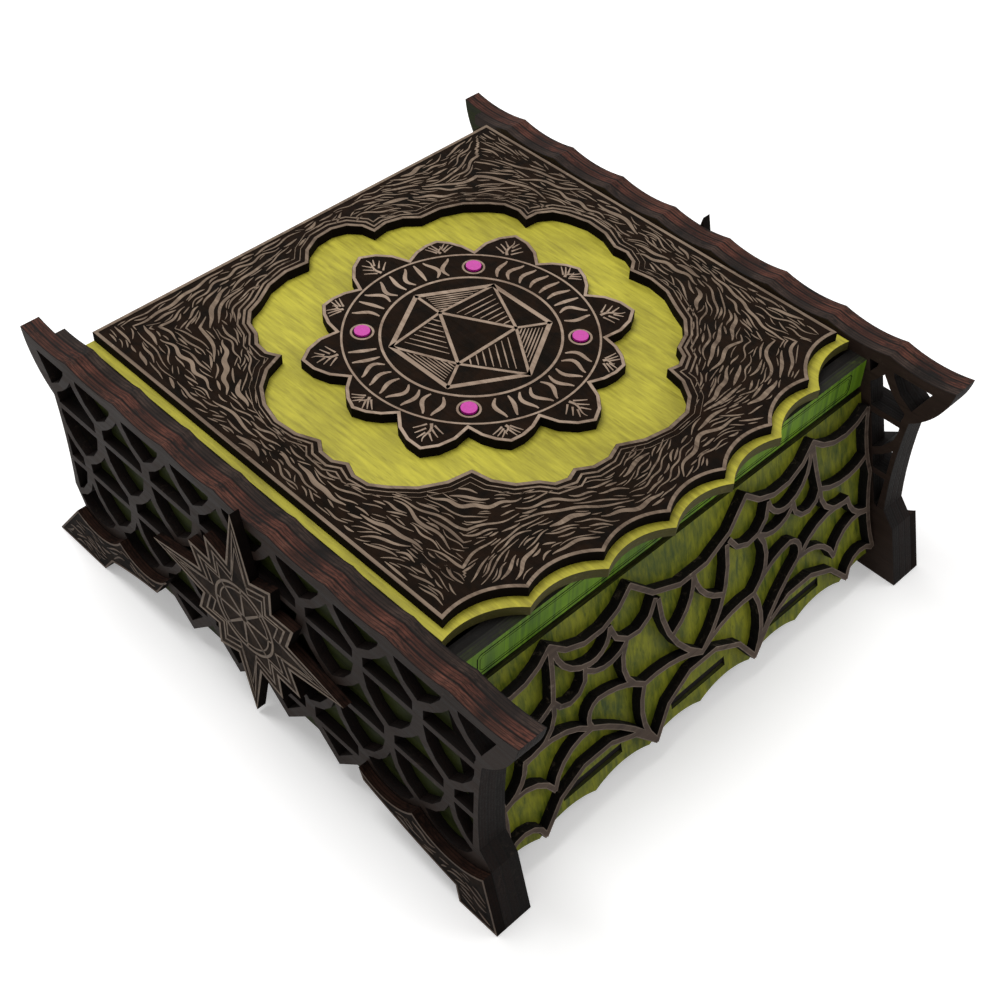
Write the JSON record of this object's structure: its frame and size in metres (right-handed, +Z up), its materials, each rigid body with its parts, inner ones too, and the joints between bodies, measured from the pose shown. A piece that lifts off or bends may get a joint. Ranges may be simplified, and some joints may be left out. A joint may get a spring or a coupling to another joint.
{
  "type": "dice_storage_chest",
  "caption": "Laminated plywood dice chest with a hinged scalloped lid, lattice sides with star bosses, and a sloped web-front drawer",
  "frame": {"origin": "on the ground under the middle of the chest's overall box", "axes": "+Z up, +X to the right seen from the front, +Y towards the back, where the lid pivots"},
  "size_m": [0.2412, 0.258, 0.1071],
  "materials": {
    "brown_ply": "dark stained birch plywood, satin, burnt dark edges",
    "green_ply": "green stained birch plywood, satin, burnt dark edges",
    "pin_steel": "plain steel pin",
    "magenta_inlay": "glossy magenta inlay discs"
  },
  "bodies": {
    "chest_body": {"lattice_outer_left": "brown_ply", "side_wall_left": "green_ply", "side_liner_left": "brown_ply", "front_foot_left": "brown_ply", "back_foot_left": "brown_ply", "star_left": "brown_ply", "hinge_pin_left": "pin_steel", "lattice_outer_right": "brown_ply", "side_wall_right": "green_ply", "side_liner_right": "brown_ply", "front_foot_right": "brown_ply", "back_foot_right": "brown_ply", "star_right": "brown_ply", "hinge_pin_right": "pin_steel", "header_strip": "green_ply", "front_wall": "brown_ply", "back_wall": "brown_ply", "compartment_floor": "brown_ply", "base_board": "brown_ply", "top_long_divider": "brown_ply", "top_cross_dividers": "brown_ply"},
    "lid": {"lid_board": "green_ply", "lid_frame": "brown_ply", "lid_medallion": "brown_ply", "lid_inlays": "magenta_inlay", "lid_batten_front": "brown_ply", "lid_batten_back": "brown_ply"},
    "drawer": {"drawer_face": "green_ply", "web_screen": "brown_ply", "drawer_bottom": "brown_ply", "drawer_side_left": "brown_ply", "drawer_side_right": "brown_ply", "drawer_back": "brown_ply", "drawer_long_divider": "brown_ply", "drawer_cross_dividers": "brown_ply"}
  },
  "joints": [
    {"name": "lid_hinge", "type": "hinge", "parent": "chest_body", "child": "lid", "pos_m": [0, 0.1, 0.1002], "axis": [-1, 0, 0], "range_deg": [0, 100]},
    {"name": "drawer_slide", "type": "slide", "parent": "chest_body", "child": "drawer", "axis": [0, -1, 0], "range_m": [0, 0.11]}
  ]
}
